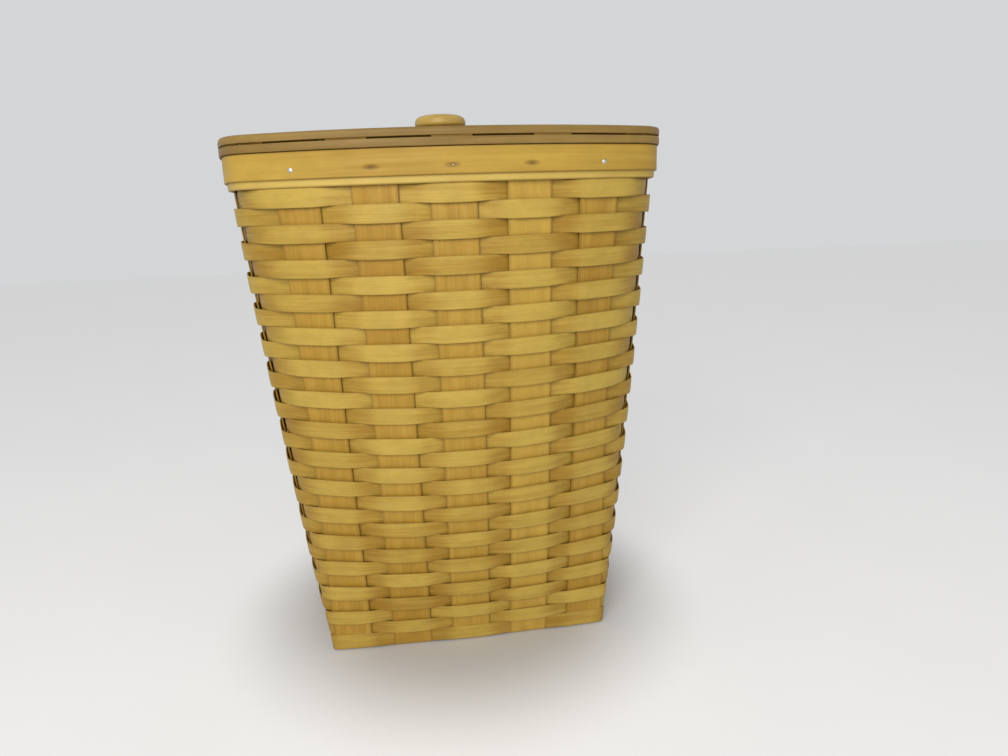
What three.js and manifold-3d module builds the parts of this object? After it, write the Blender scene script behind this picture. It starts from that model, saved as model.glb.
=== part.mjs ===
// Lidded splint basket: flat upright stakes, woven hoops, a nailed rim and a lift-off lid with a knob.
// Millimetres, +Z up. The origin is on the floor, under the middle of the base; the front faces -Y.

import * as THREE from 'three';
import { mergeVertices } from 'three/addons/utils/BufferGeometryUtils.js';
import Module from 'manifold-3d';

// Clearance between neighbouring pieces
const FIT = 0.3;

// Stakes: strips that run up one wall, under the base and up the opposite wall
const FRONT_STAKES = 5;
const SIDE_STAKES = 3;
const STAKE_WIDTH = 33;
const STAKE_THICK = 1.4;
const BEND_RADIUS = 3;
const STAKE_TIP_BELOW_RIM = 1.5;

// Weavers: one closed hoop in each row
const ROWS = 31;
const ROW_PITCH = 12.53;
const ROW_GAP = 0.35;
const WEAVER_THICK = 1.0;
const EDGE_RUN = 1.5; // how far a weaver keeps its offset past a stake's edge

// Section of the wall through the middle of the stakes, at the foot, halfway up and at the top
const HALF_WIDTH = [123, 150.5, 168.5];
const HALF_DEPTH = [76, 117.5, 130];
const FRONT_RADIUS = [2400, 260, 350];
const SIDE_RADIUS = [900, 264, 264];
// From the outer edge of the last stake to the neighbouring wall, measured along the wall's axis
const FRONT_CORNER = [3.8, 29.5, 43];
const SIDE_CORNER = [13.5, 50, 63.5];

// Rim: bands around the tips of the stakes
const RIM_HEIGHT = 24.4;
const TRIM_SHOWS = 5.5; // height of the trim band that shows below the outer band
const TRIM_THICK = 3.2;
const OUTER_BAND_THICK = 1.7;
const INNER_BAND_THICK = 3.0;
const RIM_CORNER_RADIUS = 24;

// Lid: splints held between two hoops, and a knob
const LID_OVERHANG = 1.5;
const LID_HOOP_WIDTH = 13;
const LOWER_HOOP_HEIGHT = 4.8;
const UPPER_HOOP_HEIGHT = 4.8;
const HOOP_ROUND = 2;
const CROSS_SPLINT_COUNT = 5;
const CROSS_SPLINT_WIDTH = 28;
const CROSS_SPLINT_MARGIN = 35; // from the middle of the outermost splint to the edge of the lid
const LONG_SPLINT_COUNT = 7;
const LONG_SPLINT_WIDTH = 24.5;
const LONG_SPLINT_MARGIN = 45.5;
const SPLINT_THICK = 1.0;
const SPLINT_END_INSET = 1.2;

const KNOB_RADIUS = 21.5;
const KNOB_HEIGHT = 27;
const KNOB_CAP = 7.5; // from the widest ring to the crown
const KNOB_SHOULDER = 6; // how far the cap stays steep above its widest ring
const KNOB_UNDERCUT = 3; // from the flat underside of the cap to its widest ring
const KNOB_UNDERSIDE_RADIUS = 17;
const KNOB_CROWN_RADIUS = 17; // how far out the crown stays nearly flat
const KNOB_NECK_RADIUS = 8;
const KNOB_FOOT_RADIUS = 11;
const KNOB_FOOT_HEIGHT = 3;
const SCREW_RADIUS = 2;
const SCREW_HEAD_RADIUS = 4.5;
const SCREW_FACE_RADIUS = 3.2;
const SCREW_HEAD_HEIGHT = 2.4;
const SCREW_BITE = 13; // how far the screw reaches into the knob

// How finely curves are divided
const BEND_STEPS = 3;
const CORNER_STEPS = 3;
const FRONT_ARC_STEPS = 10;
const SIDE_ARC_STEPS = 6;
const CORNER_ARC_STEPS = 4;
const TURNED_SIDES = 20;
const PROFILE_STEPS = 4;

// Heights that follow from the sizes above
const BASE_LOW = STAKE_THICK / 2;
const BASE_HIGH = BASE_LOW + STAKE_THICK + FIT;
const STAKE_FOOT = BASE_LOW + BEND_RADIUS;
const WEAVE_FOOT = Math.max(STAKE_FOOT, BASE_HIGH + STAKE_THICK / 2 + FIT);
const WEAVE_TOP = WEAVE_FOOT + ROWS * ROW_PITCH;
const BAND_FOOT = WEAVE_TOP + FIT;
const RIM_TOP = WEAVE_TOP + RIM_HEIGHT;
const LOWER_HOOP_FOOT = RIM_TOP + FIT;
const SPLINT_LIFT = (SPLINT_THICK + FIT) / 2;
const PANEL_HALF = SPLINT_LIFT + SPLINT_THICK / 2;
const SPLINT_LEVEL = LOWER_HOOP_FOOT + LOWER_HOOP_HEIGHT + FIT + PANEL_HALF;
const UPPER_HOOP_FOOT = SPLINT_LEVEL + PANEL_HALF + FIT;

const WOOD = new THREE.MeshStandardMaterial({ color: 0xc49e50, roughness: 0.45, metalness: 0 });
const STAKE_WOOD = new THREE.MeshStandardMaterial({ color: 0xb8904a, roughness: 0.45, metalness: 0 });
const LID_WOOD = new THREE.MeshStandardMaterial({ color: 0x967a41, roughness: 0.5, metalness: 0 });
const KNOB_WOOD = new THREE.MeshStandardMaterial({ color: 0xc2ab65, roughness: 0.35, metalness: 0 });
const STEEL = new THREE.MeshStandardMaterial({ color: 0x9a9c9e, roughness: 0.4, metalness: 0.9 });

const wasm = await Module();
wasm.setup();

const basket = new THREE.Group();
const lid = new THREE.Group();
const assembly = new THREE.Group();
assembly.add(basket, lid);

function addPiece(group, name, geometry, material) {
  const mesh = new THREE.Mesh(geometry, material);
  mesh.name = name;
  group.add(mesh);
}

// Solids

function signedVolume(points, triangles) {
  let sum = 0;
  for (let i = 0; i < triangles.length; i += 3) {
    const [a, b, c] = [0, 1, 2].map((k) => points[triangles[i + k]]);
    sum += a.dot(new THREE.Vector3().crossVectors(b, c));
  }
  return sum / 6;
}

// A solid through a row of sections with equally many corners, closed on itself or capped at both ends.
// Each twisted quad is folded along its outer diagonal, so strips that lie on each other fold alike.
function sweep(sections, closed) {
  const corners = sections[0].length;
  const points = sections.flat();
  const triangles = [];
  const spans = closed ? sections.length : sections.length - 1;
  const spread = (i, j) => Math.hypot(points[i].x + points[j].x, points[i].y + points[j].y);
  for (let i = 0; i < spans; i += 1) {
    const here = i * corners;
    const next = ((i + 1) % sections.length) * corners;
    for (let k = 0; k < corners; k += 1) {
      const l = (k + 1) % corners;
      const [a, b, c, d] = [here + k, here + l, next + l, next + k];
      if (spread(a, c) > spread(b, d)) {
        triangles.push(a, b, c, a, c, d);
      } else {
        triangles.push(b, c, d, b, d, a);
      }
    }
  }
  if (!closed) {
    const last = (sections.length - 1) * corners;
    for (let k = 1; k < corners - 1; k += 1) {
      triangles.push(0, k + 1, k, last, last + k, last + k + 1);
    }
  }
  if (signedVolume(points, triangles) < 0) {
    triangles.reverse();
  }
  const geometry = new THREE.BufferGeometry();
  geometry.setFromPoints(points);
  geometry.setIndex(triangles);
  return geometry;
}

function toSolid(geometry) {
  const bare = geometry.clone();
  bare.deleteAttribute('normal');
  bare.deleteAttribute('uv');
  const merged = mergeVertices(bare);
  return new wasm.Manifold(new wasm.Mesh({
    numProp: 3,
    vertProperties: new Float32Array(merged.attributes.position.array),
    triVerts: new Uint32Array(merged.index.array),
  }));
}

function toGeometry(solid) {
  const mesh = solid.getMesh();
  const geometry = new THREE.BufferGeometry();
  geometry.setAttribute('position', new THREE.BufferAttribute(mesh.vertProperties, 3));
  geometry.setIndex(new THREE.BufferAttribute(mesh.triVerts, 1));
  return geometry;
}

// The wall

// Value of a three-point size (foot, middle, top) at a share of the wall's height
function along([foot, middle, top], share) {
  const slope = 4 * middle - 3 * foot - top;
  const bend = 2 * foot + 2 * top - 4 * middle;
  return foot + slope * share + bend * share * share;
}

function curvatures(radii) {
  return radii.map((radius) => 1 / radius);
}

// Middle of one stake at a height: place, direction along the wall and outward normal, all level
function wallFrame(position, half, radius) {
  const angle = Math.asin(position / radius);
  return {
    place: new THREE.Vector2(position, -half + radius * (1 - Math.cos(angle))),
    run: new THREE.Vector2(Math.cos(angle), Math.sin(angle)),
    out: new THREE.Vector2(Math.sin(angle), -Math.cos(angle)),
  };
}

function turned(frame, angle) {
  const centre = new THREE.Vector2();
  return Object.fromEntries(
    Object.entries(frame).map(([key, v]) => [key, v.clone().rotateAround(centre, angle)]),
  );
}

function heightShare(z) {
  return THREE.MathUtils.clamp(z / WEAVE_TOP, 0, 1);
}

// Distance between the middles of neighbouring stakes, from the room between the two corners
function stakePitch(count, ownHalf, corner) {
  return count > 1 ? (2 * (ownHalf - corner - STAKE_WIDTH / 2)) / (count - 1) : 0;
}

function frontFrame(index, z) {
  const share = heightShare(z);
  const pitch = stakePitch(FRONT_STAKES, along(HALF_WIDTH, share), along(FRONT_CORNER, share));
  const radius = 1 / along(curvatures(FRONT_RADIUS), share);
  return wallFrame((index - (FRONT_STAKES - 1) / 2) * pitch, along(HALF_DEPTH, share), radius);
}

function rightFrame(index, z) {
  const share = heightShare(z);
  const pitch = stakePitch(SIDE_STAKES, along(HALF_DEPTH, share), along(SIDE_CORNER, share));
  const radius = 1 / along(curvatures(SIDE_RADIUS), share);
  const frame = wallFrame((index - (SIDE_STAKES - 1) / 2) * pitch, along(HALF_WIDTH, share), radius);
  return turned(frame, Math.PI / 2);
}

// All upright stakes in order around the basket, anticlockwise from the front left
const uprights = [];
for (const turn of [0, Math.PI]) {
  for (let i = 0; i < FRONT_STAKES; i += 1) {
    uprights.push({ corner: i === FRONT_STAKES - 1, at: (z) => turned(frontFrame(i, z), turn) });
  }
  for (let i = 0; i < SIDE_STAKES; i += 1) {
    uprights.push({ corner: i === SIDE_STAKES - 1, at: (z) => turned(rightFrame(i, z), turn) });
  }
}

// Weavers

const WEAVE_OFFSET = STAKE_THICK / 2 + FIT + WEAVER_THICK / 2;
const HALF_CROSSING = STAKE_WIDTH / 2 + EDGE_RUN;

function crossing(upright, z, side, end) {
  const { place, run, out } = upright.at(z);
  const point = place.clone().addScaledVector(run, end * HALF_CROSSING);
  return { point: point.addScaledVector(out, side * WEAVE_OFFSET), run, out };
}

// Where a line from one point meets a line back from another, as the control point of a rounded corner
function cornerControl(from, to) {
  const gap = to.point.clone().sub(from.point);
  const reach = gap.cross(to.run) / from.run.cross(to.run);
  return from.point.clone().addScaledVector(from.run, reach);
}

function roundedCorner(from, to) {
  const curve = new THREE.QuadraticBezierCurve(from.point, cornerControl(from, to), to.point);
  const stations = [];
  for (let i = 1; i < CORNER_STEPS; i += 1) {
    const tangent = curve.getTangent(i / CORNER_STEPS);
    const out = new THREE.Vector2(tangent.y, -tangent.x);
    stations.push({ point: curve.getPoint(i / CORNER_STEPS), out });
  }
  return stations;
}

// Middle line of a weaver at one height: over one stake, under the next
function weaverLine(row, z) {
  const side = (index) => ((index + row) % 2 === 1 ? 1 : -1);
  const stations = [];
  uprights.forEach((upright, index) => {
    const leave = crossing(upright, z, side(index), 1);
    stations.push(crossing(upright, z, side(index), -1), leave);
    if (upright.corner) {
      const next = (index + 1) % uprights.length;
      stations.push(...roundedCorner(leave, crossing(uprights[next], z, side(next), -1)));
    }
  });
  return stations;
}

function lift({ point, out }, offset, z) {
  return new THREE.Vector3(point.x + out.x * offset, point.y + out.y * offset, z);
}

for (let row = 1; row <= ROWS; row += 1) {
  const top = WEAVE_TOP - (row - 1) * ROW_PITCH - ROW_GAP / 2;
  const foot = top - ROW_PITCH + ROW_GAP;
  const lower = weaverLine(row, foot);
  const upper = weaverLine(row, top);
  const half = WEAVER_THICK / 2;
  const sections = lower.map((station, i) => [
    lift(station, -half, foot),
    lift(station, half, foot),
    lift(upper[i], half, top),
    lift(upper[i], -half, top),
  ]);
  addPiece(basket, `weaver_${String(row).padStart(2, '0')}`, sweep(sections, true), WOOD);
}

// Stakes

// Strip through stations of place and width direction, with its thickness square to both
function strip(stations, width, thick) {
  const last = stations.length - 1;
  return stations.map(({ place, across }, i) => {
    const before = stations[Math.max(i - 1, 0)].place;
    const after = stations[Math.min(i + 1, last)].place;
    const travel = after.clone().sub(before).normalize();
    const normal = new THREE.Vector3().crossVectors(across, travel).normalize();
    const w = across.clone().multiplyScalar(width / 2);
    const n = normal.multiplyScalar(thick / 2);
    return [[1, 1], [-1, 1], [-1, -1], [1, -1]].map(
      ([u, v]) => place.clone().addScaledVector(w, u).addScaledVector(n, v),
    );
  });
}

// Heights from the top of the weave to the foot, at the joints between rows
const stakeLevels = Array.from({ length: ROWS }, (_, row) => WEAVE_TOP - row * ROW_PITCH);
stakeLevels.push(STAKE_FOOT);

// One wall of a stake from its tip down to the flat of the base
function uprightStations(frameAt) {
  const at = (z, level = z) => {
    const { place, run } = frameAt(z);
    return {
      place: new THREE.Vector3(place.x, place.y, level),
      across: new THREE.Vector3(run.x, run.y, 0),
    };
  };
  const stations = [at(WEAVE_TOP, RIM_TOP - STAKE_TIP_BELOW_RIM)];
  stations.push(...stakeLevels.map((z) => at(z)));
  const turn = at(BASE_LOW);
  const inward = frameAt(0).out.clone().multiplyScalar(-BEND_RADIUS);
  const flat = turn.place.clone().add(new THREE.Vector3(inward.x, inward.y, 0));
  const bend = new THREE.QuadraticBezierCurve3(stations.at(-1).place, turn.place, flat);
  for (let i = 1; i <= BEND_STEPS; i += 1) {
    stations.push({ place: bend.getPoint(i / BEND_STEPS), across: turn.across });
  }
  return stations;
}

function mirrored(stations, axis) {
  return stations.map(({ place, across }) => {
    const copy = { place: place.clone(), across: across.clone() };
    copy.place[axis] *= -1;
    copy.across[axis] *= -1;
    return copy;
  });
}

// Flat of a stake under the base: it runs below or above each strip that it crosses
function baseStations(axis, fixed, crossings, isLow) {
  const cross = axis === 'x' ? 'y' : 'x';
  return crossings.flatMap((middle, i) => [-1, 1].map((end) => {
    const place = new THREE.Vector3(0, 0, isLow(i) ? BASE_LOW : BASE_HIGH);
    place[axis] = middle + end * HALF_CROSSING;
    place[cross] = fixed;
    const across = new THREE.Vector3();
    across[cross] = 1;
    return { place, across };
  }));
}

const frontPlaces = Array.from({ length: FRONT_STAKES }, (_, i) => frontFrame(i, 0).place.x);
const sidePlaces = Array.from({ length: SIDE_STAKES }, (_, i) => rightFrame(i, 0).place.y);

for (let i = 0; i < FRONT_STAKES; i += 1) {
  const front = uprightStations((z) => frontFrame(i, z));
  const base = baseStations('y', frontPlaces[i], sidePlaces, (j) => (i + j) % 2 === 1);
  const back = mirrored(front, 'y').reverse();
  const sections = strip([...front, ...base, ...back], STAKE_WIDTH, STAKE_THICK);
  addPiece(basket, `front_back_stake_${i + 1}`, sweep(sections, false), STAKE_WOOD);
}

for (let i = 0; i < SIDE_STAKES; i += 1) {
  const right = uprightStations((z) => rightFrame(i, z));
  const left = mirrored(right, 'x');
  const base = baseStations('x', sidePlaces[i], frontPlaces, (j) => (i + j) % 2 === 0);
  const sections = strip([...left, ...base, ...right.reverse()], STAKE_WIDTH, STAKE_THICK);
  addPiece(basket, `side_stake_${i + 1}`, sweep(sections, false), STAKE_WOOD);
}

// Rim and lid outline

// Bowed rectangle of arcs along the stakes at the top of the wall; its corners join the arcs smoothly
function rimStations() {
  const [halfWidth, halfDepth] = [HALF_WIDTH[2], HALF_DEPTH[2]];
  const [frontRadius, sideRadius] = [FRONT_RADIUS[2], SIDE_RADIUS[2]];
  const frontCentre = new THREE.Vector2(0, frontRadius - halfDepth);
  const sideCentre = new THREE.Vector2(halfWidth - sideRadius, 0);
  const fromFront = frontRadius - RIM_CORNER_RADIUS;
  const fromSide = sideRadius - RIM_CORNER_RADIUS;
  const apart = sideCentre.clone().sub(frontCentre);
  const share = (fromFront ** 2 - fromSide ** 2 + apart.lengthSq()) / (2 * apart.length());
  const aside = Math.sqrt(fromFront ** 2 - share ** 2);
  const direction = apart.clone().normalize();
  const square = new THREE.Vector2(-direction.y, direction.x);
  const corner = frontCentre.clone().addScaledVector(direction, share).addScaledVector(square, aside);
  const toFront = corner.clone().sub(frontCentre);
  const toSide = corner.clone().sub(sideCentre);
  const frontEnd = Math.atan2(toFront.x, -toFront.y);
  const sideEnd = Math.atan2(toSide.x, -toSide.y);
  const arc = (centre, radius, from, to, steps) => Array.from({ length: steps }, (_, i) => {
    const angle = THREE.MathUtils.lerp(from, to, i / steps);
    const out = new THREE.Vector2(Math.sin(angle), -Math.cos(angle));
    return { point: centre.clone().addScaledVector(out, radius), out };
  });
  const otherCorner = new THREE.Vector2(corner.x, -corner.y);
  const half = [
    ...arc(frontCentre, frontRadius, -frontEnd, frontEnd, FRONT_ARC_STEPS),
    ...arc(corner, RIM_CORNER_RADIUS, frontEnd, sideEnd, CORNER_ARC_STEPS),
    ...arc(sideCentre, sideRadius, sideEnd, Math.PI - sideEnd, SIDE_ARC_STEPS),
    ...arc(otherCorner, RIM_CORNER_RADIUS, Math.PI - sideEnd, Math.PI - frontEnd, CORNER_ARC_STEPS),
  ];
  const centre = new THREE.Vector2();
  const otherHalf = half.map(({ point, out }) => ({
    point: point.clone().rotateAround(centre, Math.PI),
    out: out.clone().rotateAround(centre, Math.PI),
  }));
  return [...half, ...otherHalf];
}

const rim = rimStations();

// A hoop whose section is a list of corners: distance outward from the stakes' middle, and height
function hoop(section) {
  return sweep(rim.map((station) => section.map(([offset, z]) => lift(station, offset, z))), true);
}

function plainSection(inner, outer, foot, top) {
  return [[inner, foot], [outer, foot], [outer, top], [inner, top]];
}

// Rim bands

// A flat tip stands out of the bowed outline by the sag of its width,
// and the straight facets of a band stand in by the sag of theirs
const sag = (radius, chord) => radius - Math.sqrt(radius ** 2 - (chord / 2) ** 2);
const frontFacet = (2 * HALF_WIDTH[2]) / FRONT_ARC_STEPS;
const sideFacet = (2 * HALF_DEPTH[2]) / SIDE_ARC_STEPS;
const frontSag = Math.max(sag(FRONT_RADIUS[2], STAKE_WIDTH), sag(FRONT_RADIUS[2], frontFacet));
const sideSag = Math.max(sag(SIDE_RADIUS[2], STAKE_WIDTH), sag(SIDE_RADIUS[2], sideFacet));
const TIP_BOW = Math.max(frontSag, sideSag);
const TRIM_INNER = STAKE_THICK / 2 + TIP_BOW + FIT;
const TRIM_OUTER = TRIM_INNER + TRIM_THICK;
const BAND_INNER = TRIM_OUTER + FIT;
const BAND_OUTER = BAND_INNER + OUTER_BAND_THICK;
const INNER_BAND_OUTER = -(STAKE_THICK / 2 + TIP_BOW + FIT);
const INNER_BAND_INNER = INNER_BAND_OUTER - INNER_BAND_THICK;

addPiece(basket, 'rim_trim_band', hoop(plainSection(TRIM_INNER, TRIM_OUTER, BAND_FOOT, RIM_TOP)), WOOD);
addPiece(
  basket,
  'rim_outer_band',
  hoop(plainSection(BAND_INNER, BAND_OUTER, BAND_FOOT + TRIM_SHOWS, RIM_TOP)),
  WOOD,
);
addPiece(
  basket,
  'rim_inner_band',
  hoop(plainSection(INNER_BAND_INNER, INNER_BAND_OUTER, BAND_FOOT, RIM_TOP)),
  WOOD,
);

// Lid

const LID_OUTER = BAND_OUTER + LID_OVERHANG;
const LID_INNER = LID_OUTER - LID_HOOP_WIDTH;
const LID_TOP = UPPER_HOOP_FOOT + UPPER_HOOP_HEIGHT;

addPiece(
  lid,
  'lid_lower_hoop',
  hoop(plainSection(LID_INNER, LID_OUTER, LOWER_HOOP_FOOT, LOWER_HOOP_FOOT + LOWER_HOOP_HEIGHT)),
  LID_WOOD,
);
addPiece(
  lid,
  'lid_upper_hoop',
  hoop([
    [LID_INNER, UPPER_HOOP_FOOT],
    [LID_OUTER, UPPER_HOOP_FOOT],
    [LID_OUTER, LID_TOP - HOOP_ROUND],
    [LID_OUTER - HOOP_ROUND * (1 - Math.SQRT1_2), LID_TOP - HOOP_ROUND * (1 - Math.SQRT1_2)],
    [LID_OUTER - HOOP_ROUND, LID_TOP],
    [LID_INNER, LID_TOP],
  ]),
  LID_WOOD,
);

// Splints of the lid run past its edge and are cut to its outline
const lidHalfWidth = HALF_WIDTH[2] + LID_OUTER;
const lidHalfDepth = HALF_DEPTH[2] + LID_OUTER;

function lidOutline() {
  const shape = new THREE.Shape(rim.map(({ point, out }) => (
    point.clone().addScaledVector(out, LID_OUTER - SPLINT_END_INSET)
  )));
  const block = new THREE.ExtrudeGeometry(shape, { depth: LID_TOP - RIM_TOP, bevelEnabled: false });
  return toSolid(block.translate(0, 0, RIM_TOP));
}

const outline = lidOutline();

// Middles of evenly spread splints, with the outermost ones a margin away from the edge
function splintPlaces(count, half, margin) {
  const outermost = half - margin;
  return Array.from({ length: count }, (_, i) => outermost * ((2 * i) / (count - 1) - 1));
}

const crossSplints = {
  width: CROSS_SPLINT_WIDTH,
  places: splintPlaces(CROSS_SPLINT_COUNT, lidHalfWidth, CROSS_SPLINT_MARGIN),
};
const longSplints = {
  width: LONG_SPLINT_WIDTH,
  places: splintPlaces(LONG_SPLINT_COUNT, lidHalfDepth, LONG_SPLINT_MARGIN),
};

// One splint along an axis: it runs below or above each splint that it crosses
function splint(axis, fixed, width, crossed, reach, isLow) {
  const other = axis === 'x' ? 'y' : 'x';
  const across = new THREE.Vector3();
  across[other] = 1;
  const station = (distance, level) => {
    const place = new THREE.Vector3(0, 0, SPLINT_LEVEL + level);
    place[axis] = distance;
    place[other] = fixed;
    return { place, across };
  };
  const half = crossed.width / 2 + EDGE_RUN;
  const level = (i) => (isLow(i) ? -SPLINT_LIFT : SPLINT_LIFT);
  const { places } = crossed;
  const last = places.length - 1;
  const stations = [station(-reach, level(0))];
  for (let i = 0; i < last; i += 1) {
    stations.push(station(places[i] + half, level(i)), station(places[i + 1] - half, level(i + 1)));
  }
  stations.push(station(reach, level(last)));
  return toSolid(sweep(strip(stations, width, SPLINT_THICK), false)).intersect(outline);
}

const screwHole = toSolid(
  new THREE.CylinderGeometry(SCREW_RADIUS + FIT, SCREW_RADIUS + FIT, LID_TOP, TURNED_SIDES)
    .rotateX(Math.PI / 2)
    .translate(0, 0, SPLINT_LEVEL),
);

const middleLong = (LONG_SPLINT_COUNT - 1) / 2;
const middleCross = (CROSS_SPLINT_COUNT - 1) / 2;
const isCrossLow = (cross, long) => (cross + long + middleCross + middleLong) % 2 === 0;

crossSplints.places.forEach((x, i) => {
  const whole = splint('y', x, crossSplints.width, longSplints, lidHalfDepth, (j) => isCrossLow(i, j));
  const piece = i === middleCross ? whole.subtract(screwHole) : whole;
  addPiece(lid, `lid_cross_splint_${i + 1}`, toGeometry(piece), LID_WOOD);
});
longSplints.places.forEach((y, j) => {
  const whole = splint('x', y, longSplints.width, crossSplints, lidHalfWidth, (i) => !isCrossLow(i, j));
  const piece = j === middleLong ? whole.subtract(screwHole) : whole;
  addPiece(lid, `lid_long_splint_${j + 1}`, toGeometry(piece), LID_WOOD);
});

// Knob and its screw

const PANEL_TOP = SPLINT_LEVEL + PANEL_HALF;
const PANEL_FOOT = SPLINT_LEVEL - PANEL_HALF;
const KNOB_FOOT = PANEL_TOP + FIT;

function latheZ(profile) {
  return new THREE.LatheGeometry(profile, TURNED_SIDES).rotateX(Math.PI / 2);
}

function knobProfile() {
  const widest = KNOB_HEIGHT - KNOB_CAP;
  const underside = widest - KNOB_UNDERCUT;
  const bore = SCREW_RADIUS + FIT;
  const path = new THREE.Path();
  path.moveTo(0, SCREW_BITE + FIT);
  path.lineTo(bore, SCREW_BITE + FIT);
  path.lineTo(bore, 0);
  path.lineTo(KNOB_FOOT_RADIUS, 0);
  path.lineTo(KNOB_FOOT_RADIUS, KNOB_FOOT_HEIGHT);
  path.quadraticCurveTo(KNOB_NECK_RADIUS, KNOB_FOOT_HEIGHT, KNOB_NECK_RADIUS, widest / 2);
  path.quadraticCurveTo(KNOB_NECK_RADIUS, underside, KNOB_UNDERSIDE_RADIUS, underside);
  path.quadraticCurveTo(KNOB_RADIUS, underside, KNOB_RADIUS, widest);
  const shoulder = widest + KNOB_SHOULDER;
  path.bezierCurveTo(KNOB_RADIUS, shoulder, KNOB_CROWN_RADIUS, KNOB_HEIGHT, 0, KNOB_HEIGHT);
  return path.getPoints(PROFILE_STEPS);
}

addPiece(lid, 'knob', latheZ(knobProfile()).translate(0, 0, KNOB_FOOT), KNOB_WOOD);

const screwProfile = [
  [0, PANEL_FOOT - FIT - SCREW_HEAD_HEIGHT],
  [SCREW_FACE_RADIUS, PANEL_FOOT - FIT - SCREW_HEAD_HEIGHT],
  [SCREW_HEAD_RADIUS, PANEL_FOOT - FIT - SCREW_HEAD_HEIGHT / 2],
  [SCREW_HEAD_RADIUS, PANEL_FOOT - FIT],
  [SCREW_RADIUS, PANEL_FOOT - FIT],
  [SCREW_RADIUS, KNOB_FOOT + SCREW_BITE],
  [0, KNOB_FOOT + SCREW_BITE],
].map(([r, z]) => new THREE.Vector2(r, z));

addPiece(lid, 'knob_screw', latheZ(screwProfile), STEEL);

export default assembly;
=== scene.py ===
# %% [markdown]
# # A lidded splint basket
# The real basket is woven from thin flat strips of wood, called splints. Wide upright stakes run
# under the base and up the walls, and a narrower weaver goes round them in each row. Bands are tacked
# round the rim, and a lift-off lid with a turned knob lies on top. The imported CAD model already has
# every piece at its real size, so this lesson loads it as a fixed frame and dresses each piece.

# %% Load the frame
import math

import bpy
import numpy as np
from mathutils import Matrix, Vector


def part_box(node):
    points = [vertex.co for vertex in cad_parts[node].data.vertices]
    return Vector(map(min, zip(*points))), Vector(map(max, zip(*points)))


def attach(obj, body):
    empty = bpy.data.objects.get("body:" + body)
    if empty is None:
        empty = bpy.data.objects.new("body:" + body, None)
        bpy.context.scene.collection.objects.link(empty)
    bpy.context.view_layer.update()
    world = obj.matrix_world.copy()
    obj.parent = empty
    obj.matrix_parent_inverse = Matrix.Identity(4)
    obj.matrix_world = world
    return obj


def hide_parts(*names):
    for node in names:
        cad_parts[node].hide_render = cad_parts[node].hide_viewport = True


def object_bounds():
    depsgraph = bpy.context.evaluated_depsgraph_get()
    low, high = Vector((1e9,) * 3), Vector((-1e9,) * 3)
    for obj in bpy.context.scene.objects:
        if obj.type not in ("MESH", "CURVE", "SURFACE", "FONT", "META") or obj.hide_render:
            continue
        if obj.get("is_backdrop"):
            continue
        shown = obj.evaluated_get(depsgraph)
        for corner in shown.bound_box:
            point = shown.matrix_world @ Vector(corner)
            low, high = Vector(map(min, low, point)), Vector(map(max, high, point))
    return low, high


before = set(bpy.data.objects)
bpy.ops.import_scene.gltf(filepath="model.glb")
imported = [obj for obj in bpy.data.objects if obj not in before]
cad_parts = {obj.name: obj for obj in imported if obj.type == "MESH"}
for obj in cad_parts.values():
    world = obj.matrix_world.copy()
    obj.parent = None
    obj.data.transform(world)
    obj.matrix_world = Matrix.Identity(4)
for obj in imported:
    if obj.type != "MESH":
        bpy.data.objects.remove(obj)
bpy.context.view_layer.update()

MM = 0.001

# %% [markdown]
# ## Finishes that are shared
# All of the wood is the same oiled splint, so its grain is one node group that each material uses with
# its own colours. The grain could follow object coordinates, but a strip that bends round a corner
# would cut through it. So every strip carries a flat map of itself instead: metres along the strip and
# metres across it. A second map holds how deep the colour is there, and how near the edge it is.

# %% Helpers for nodes
def add_node(tree, kind, settings=None, **inputs):
    """Adds a node. Settings are its own choices; each input is a plain value or a socket to plug in."""
    node = tree.nodes.new("ShaderNode" + kind)
    for key, value in (settings or {}).items():
        setattr(node, key, value)
    for key, value in inputs.items():
        plug(tree, value, node.inputs[key.replace("_", " ")])
    return node


def plug(tree, value, socket):
    if isinstance(value, bpy.types.NodeSocket):
        tree.links.new(value, socket)
    else:
        socket.default_value = value


def maths(tree, operation, *values):
    """Result of one sum; the values go into the node's inputs in their order."""
    node = add_node(tree, "Math", {"operation": operation})
    for value, socket in zip(values, node.inputs):
        plug(tree, value, socket)
    return node.outputs[0]


def mix_colours(tree, share, first, second):
    """Colour between two colours; the sockets of this node share names, so they are found by type."""
    node = add_node(tree, "Mix", {"data_type": "RGBA"}, Factor=share)
    colours = [s for s in node.inputs if s.type == "RGBA"]
    plug(tree, first, colours[0])
    plug(tree, second, colours[1])
    return next(s for s in node.outputs if s.type == "RGBA")


def ramp(tree, value, low, high):
    """0 at low, 1 at high, and smooth between them."""
    settings = {"interpolation_type": "SMOOTHSTEP"}
    return add_node(tree, "MapRange", settings, Value=value, From_Min=low, From_Max=high).outputs[0]


def new_group(name, inputs, outputs):
    """An empty node group with named sockets, and the two nodes that stand for its ends."""
    tree = bpy.data.node_groups.new(name, "ShaderNodeTree")
    for socket, kind in inputs.items():
        tree.interface.new_socket(name=socket, in_out="INPUT", socket_type="NodeSocket" + kind)
    for socket, kind in outputs.items():
        tree.interface.new_socket(name=socket, in_out="OUTPUT", socket_type="NodeSocket" + kind)
    return tree, tree.nodes.new("NodeGroupInput"), tree.nodes.new("NodeGroupOutput")


def colour(red, green, blue):
    """A colour as it looks on screen, turned into the light values that a shader takes."""
    def light(level):
        level /= 255
        return level / 12.92 if level <= 0.04045 else ((level + 0.055) / 1.055) ** 2.4

    return light(red), light(green), light(blue), 1.0


print("a grey of 128 on screen is a light value of", round(colour(128, 128, 128)[0], 3))


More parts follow.
